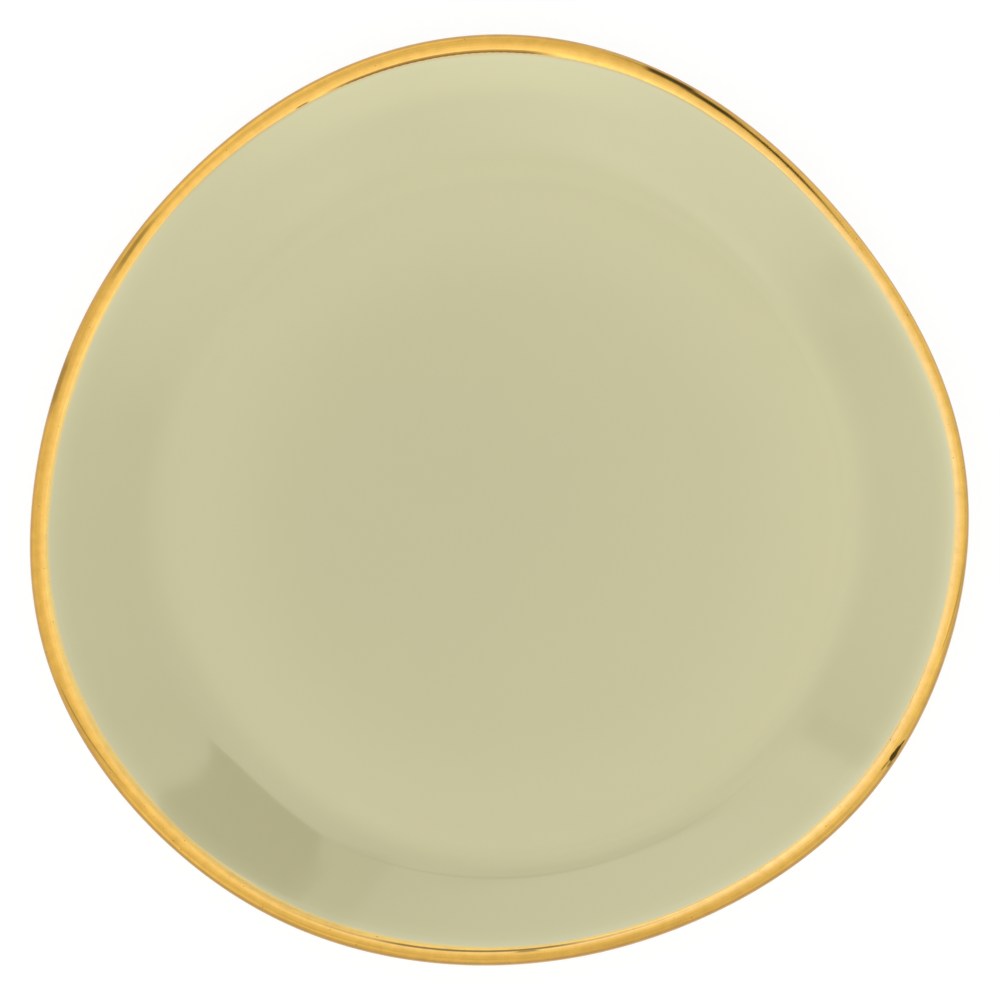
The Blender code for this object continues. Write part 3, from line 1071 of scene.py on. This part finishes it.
class PLATE_OT_stage(bpy.types.Operator):
    """Make the floor, the white tent, the dark card, the world and the camera"""

    bl_idname = "plate.stage"
    bl_label = "Stage"

    def execute(self, context):
        studio = context.scene.studio_sizes
        light = glow_finish("tent_light")
        self.make_floor()
        self.make_tent(studio, light)
        self.make_card(light)
        self.make_world()
        self.make_camera(context, studio)
        context.scene.view_settings.view_transform = "Standard"
        return {"FINISHED"}

    def make_floor(self):
        material = bpy.data.materials.new("pale_floor")
        material.use_nodes = True
        tree = material.node_tree
        tree.nodes.remove(tree.nodes["Principled BSDF"])
        matt, seen_matt = (
            add(tree, "ShaderNodeBsdfDiffuse", {"Color": (grey, grey, grey, 1)})
            for grey in (FLOOR_GREY, SEEN_FLOOR_GREY)
        )
        white = add(tree, "ShaderNodeEmission", {"Strength": SEEN_FLOOR_GLOW})
        both = add(tree, "ShaderNodeAddShader", {0: seen_matt.outputs[0], 1: white.outputs[0]})
        mix = add(
            tree, "ShaderNodeMixShader",
            {0: seen_rays(tree), 1: matt.outputs[0], 2: both.outputs[0]},
        )
        feed(tree, tree.nodes["Material Output"].inputs["Surface"], mix.outputs[0])
        turns = [math.tau * side / FLOOR_SIDES for side in range(FLOOR_SIDES)]
        rim = [(FLOOR_RADIUS * math.cos(turn), FLOOR_RADIUS * math.sin(turn), 0) for turn in turns]
        floor = stage_mesh("floor", rim, [tuple(range(FLOOR_SIDES))], material)

    def make_tent(self, studio, material):
        wide, glow = len(TENT_AZIMUTHS), tent_glow(studio)
        places = [(azimuth, polar) for polar in TENT_POLARS for azimuth in TENT_AZIMUTHS]
        corners = [dome_point(studio.tent_radius, *place) for place in places]
        starts = (
            row * wide + side for row in range(len(TENT_POLARS) - 1) for side in range(wide - 1)
        )
        faces = [(start, start + 1, start + wide + 1, start + wide) for start in starts]
        tent = stage_mesh("tent", corners, faces, material, [glow(*place) for place in places])
        tent.visible_camera = False

    def make_card(self, material):
        """A level card that only mirrors see."""
        corners = [(x, y, CARD_HEIGHT) for x, y in CARD_CORNERS]
        face, glows = tuple(range(len(corners))), [CARD_GLOW] * len(corners)
        card = stage_mesh("dark_card", corners, [face], material, glows)
        card.visible_camera = card.visible_diffuse = card.visible_shadow = False

    def make_world(self):
        world = bpy.data.worlds.new("white_world")
        bpy.context.scene.world = world
        world.use_nodes = True
        tree = world.node_tree
        strength = seen_rays(tree) * SEEN_WORLD_EXTRA + WORLD_GLOW
        feed(tree, tree.nodes["Background"].inputs["Strength"], strength)
        tree.nodes["Background"].inputs["Color"].default_value = (1, 1, 1, 1)

    def make_camera(self, context, studio):
        data = bpy.data.cameras.new("camera")
        data.lens = studio.lens
        data.sensor_width = SENSOR_WIDTH
        data.clip_start, data.clip_end = NEAREST, FURTHEST
        camera = bpy.data.objects.new("camera", data)
        camera.location = (studio.camera_x, studio.camera_y, studio.camera_height)
        context.collection.objects.link(camera)
        context.scene.camera = camera


class PLATE_PT_panel(bpy.types.Panel):
    """The plate's layers, sizes and colours"""

    bl_idname = "PLATE_PT_panel"
    bl_label = "Side plate"
    bl_space_type = "VIEW_3D"
    bl_region_type = "UI"
    bl_category = "Plate"

    def draw(self, context):
        layout = self.layout
        for step in STEPS:
            layout.operator(step.bl_idname)
        for group in SETTINGS:
            box = layout.box()
            box.label(text=group.replace("_", " ").capitalize())
            values = getattr(context.scene, group)
            for name in values.__annotations__:
                box.prop(values, name)


SETTINGS = {
    "plate_sizes": PlateSizes,
    "coat_sizes": CoatSizes,
    "plate_colours": Colours,
    "studio_sizes": StudioSizes,
}
STEPS = (PLATE_OT_clay_body, PLATE_OT_glaze, PLATE_OT_gold, PLATE_OT_stage)


def register():
    for kind in (*SETTINGS.values(), *STEPS, PLATE_PT_panel):
        bpy.utils.register_class(kind)
    for name, kind in SETTINGS.items():
        setattr(bpy.types.Scene, name, PointerProperty(type=kind))


def unregister():
    for name in SETTINGS:
        delattr(bpy.types.Scene, name)
    for kind in (PLATE_PT_panel, *reversed(STEPS), *SETTINGS.values()):
        bpy.utils.unregister_class(kind)


def main():
    register()
    bpy.ops.plate.clay_body()
    bpy.ops.plate.glaze()
    bpy.ops.plate.gold()
    bpy.ops.plate.stage()


if __name__ == "__main__":
    main()
